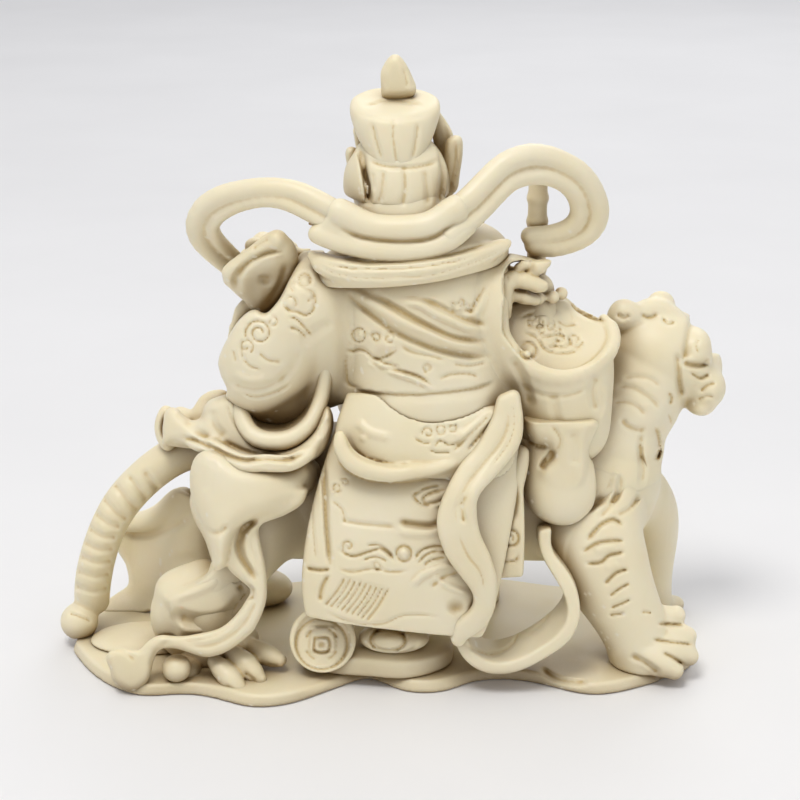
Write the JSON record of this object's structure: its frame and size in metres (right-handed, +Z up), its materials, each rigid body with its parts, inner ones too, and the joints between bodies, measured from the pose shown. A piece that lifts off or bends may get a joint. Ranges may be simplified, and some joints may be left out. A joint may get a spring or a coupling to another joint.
{
  "type": "desk ornament",
  "caption": "Carved ivory-coloured desk ornament: a robed official seated on a standing tiger, with floating shawl, sleeves and robe train, on a thin scalloped plinth.",
  "frame": {"origin": "on the plinth's flat underside, below the figure's neck", "axes": "+Z up, +X towards the tiger's head, -Y towards the pictured side, which is the figure's back"},
  "size_m": [0.1215, 0.0513, 0.1087],
  "materials": {
    "ivory_resin": "satin, hand finished",
    "dowel_wood": "plain"
  },
  "bodies": {
    "root": {"base_plinth": "ivory_resin", "front_rock": "ivory_resin", "far_rock": "ivory_resin", "tiger_body": "ivory_resin", "near_foreleg": "ivory_resin", "far_foreleg": "ivory_resin", "near_hind_leg": "ivory_resin", "far_hind_leg": "ivory_resin", "tiger_tail": "ivory_resin", "tiger_head": "ivory_resin", "torso": "ivory_resin", "shoulder_cape": "ivory_resin", "head": "ivory_resin", "hat_cap": "ivory_resin", "hat_crown": "ivory_resin", "hat_finial": "ivory_resin", "hat_flap_left": "ivory_resin", "hat_flap_right": "ivory_resin", "left_sleeve": "ivory_resin", "left_sleeve_drape": "ivory_resin", "left_cuff": "ivory_resin", "left_hand": "ivory_resin", "right_sleeve": "ivory_resin", "right_sleeve_drape": "ivory_resin", "baton": "ivory_resin", "right_hand": "ivory_resin", "hand_beads": "ivory_resin", "robe_skirt": "ivory_resin", "robe_upper_tier": "ivory_resin", "lap_robe": "ivory_resin", "front_robe_fall": "ivory_resin", "left_boot": "ivory_resin", "right_boot": "ivory_resin", "robe_side_panel": "ivory_resin", "waist_streamer": "ivory_resin", "right_hem_curl": "ivory_resin", "train_cover": "ivory_resin", "train_fall": "ivory_resin", "train_fold": "ivory_resin", "train_sweep": "ivory_resin", "far_train": "ivory_resin", "shawl_band": "ivory_resin", "shawl_loop_left": "ivory_resin", "shawl_loop_right": "ivory_resin", "coin": "ivory_resin", "ingot": "ivory_resin", "pearl": "ivory_resin", "tiger_dowels": "dowel_wood", "foot_pins": "dowel_wood", "figure_dowels": "dowel_wood", "ornament_pins": "dowel_wood"}
  },
  "joints": []
}
